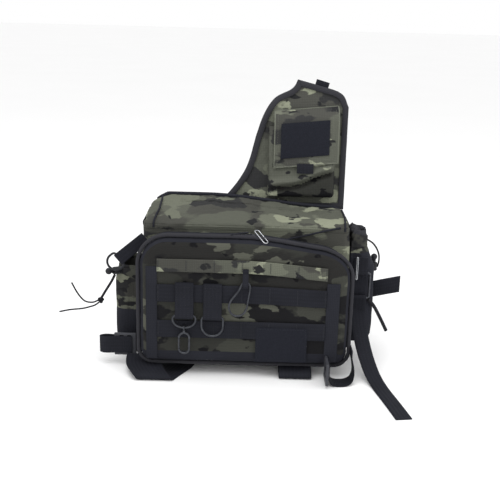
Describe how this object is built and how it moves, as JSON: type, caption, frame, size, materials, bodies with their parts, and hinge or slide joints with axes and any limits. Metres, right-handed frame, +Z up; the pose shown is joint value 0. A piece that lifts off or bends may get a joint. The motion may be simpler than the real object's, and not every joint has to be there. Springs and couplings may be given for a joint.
{
  "type": "fishing sling bag",
  "caption": "Upright camouflage sling bag for fishing tackle: crowned lid, zipped front pocket with webbing rows and hanging rings, side pouches, padded shoulder wing with phone pocket",
  "frame": {"origin": "on the floor under the middle of the bag's box, without the free cords and the free strap", "axes": "X to the right of the front, Y to the back where the wing stands, Z up"},
  "size_m": [0.4864, 0.3042, 0.3942],
  "materials": {
    "camo": "printed woven cloth",
    "black_cloth": "matte woven",
    "webbing": "ribbed webbing",
    "loop_pile": "soft loop pile",
    "plastic": "moulded satin",
    "gunmetal": "dark plated",
    "bright_steel": "polished"
  },
  "bodies": {
    "bag": {"main_shell": "camo", "top_lid": "camo", "front_pocket": "camo", "camo_band": "camo", "pouch_left": "camo", "pouch_right": "camo", "wing_pad": "camo", "phone_pocket": "camo", "phone_flap": "camo", "lid_zip": "black_cloth", "back_panel": "black_cloth", "front_piping": "black_cloth", "front_zip": "black_cloth", "collar_right": "black_cloth", "drawcord_left": "black_cloth", "cord_knot": "black_cloth", "cord_tail_upper": "black_cloth", "cord_tail_lower": "black_cloth", "drawcord_right": "black_cloth", "wing_binding": "black_cloth", "zip_pull_left": "webbing", "webbing_upper": "webbing", "webbing_lower": "webbing", "tab_left": "webbing", "tab_right": "webbing", "carabiner_loop": "webbing", "side_tail": "webbing", "side_tab_left": "webbing", "bottom_loop_left": "webbing", "bottom_loop_right": "webbing", "strap_left_loop": "webbing", "strap_right_loop": "webbing", "strap_tab_right": "webbing", "sling_tab": "webbing", "sling_fold": "webbing", "sling_strap": "webbing", "flap_pull": "webbing", "wing_loop": "webbing", "loop_patch_front": "loop_pile", "loop_patch_wing": "loop_pile", "cord_lock_left": "plastic", "cord_lock_right": "plastic", "buckle_left": "plastic", "buckle_right": "plastic", "zip_slider_left": "gunmetal", "zip_slider_right": "gunmetal", "sling_ring": "gunmetal", "zip_pull_right": "bright_steel", "side_pull": "bright_steel"},
    "ring_left": {"d_ring_left": "gunmetal"},
    "hook": {"snap_hook": "gunmetal"},
    "hook_gate": {"snap_gate": "gunmetal"},
    "ring_right": {"d_ring_right": "gunmetal"},
    "clip": {"carabiner": "gunmetal"},
    "clip_gate": {"carabiner_gate": "gunmetal"},
    "side_ring": {"side_ring_left": "plastic"},
    "button_left": {"lock_button_left": "plastic"},
    "button_right": {"lock_button_right": "plastic"}
  },
  "joints": [
    {"name": "ring_left_swing", "type": "hinge", "parent": "bag", "child": "ring_left", "pos_m": [-0.09138, -0.08476, 0.091], "axis": [-1, 0, 0], "range_deg": [0, 90]},
    {"name": "hook_swing", "type": "hinge", "parent": "ring_left", "child": "hook", "pos_m": [-0.09138, -0.08476, 0.074], "axis": [-1, 0, 0], "range_deg": [0, 60]},
    {"name": "hook_gate_turn", "type": "hinge", "parent": "hook", "child": "hook_gate", "pos_m": [-0.09838, -0.08476, 0.0452], "axis": [0, 1, 0], "range_deg": [0, 25], "stiffness_Nm_per_rad": 0.02},
    {"name": "ring_right_swing", "type": "hinge", "parent": "bag", "child": "ring_right", "pos_m": [-0.05338, -0.08476, 0.09], "axis": [-1, 0, 0], "range_deg": [0, 90]},
    {"name": "clip_swing", "type": "hinge", "parent": "bag", "child": "clip", "pos_m": [-0.00988, -0.08596, 0.1385], "axis": [-1, 0, 0], "range_deg": [0, 60]},
    {"name": "clip_gate_turn", "type": "hinge", "parent": "clip", "child": "clip_gate", "pos_m": [-0.00711, -0.08596, 0.1062], "axis": [0, -1, 0], "range_deg": [0, 25], "stiffness_Nm_per_rad": 0.02},
    {"name": "side_ring_swing", "type": "hinge", "parent": "bag", "child": "side_ring", "pos_m": [-0.18238, -0.04676, 0.158], "axis": [-0.6428, 0, 0.766], "range_deg": [0, 60]},
    {"name": "button_left_press", "type": "slide", "parent": "bag", "child": "button_left", "axis": [0.6497, 0.7474, -0.1392], "range_m": [0, 0.004], "stiffness_N_per_m": 400},
    {"name": "button_right_press", "type": "slide", "parent": "bag", "child": "button_right", "axis": [0, 0, -1], "range_m": [0, 0.004], "stiffness_N_per_m": 400}
  ]
}
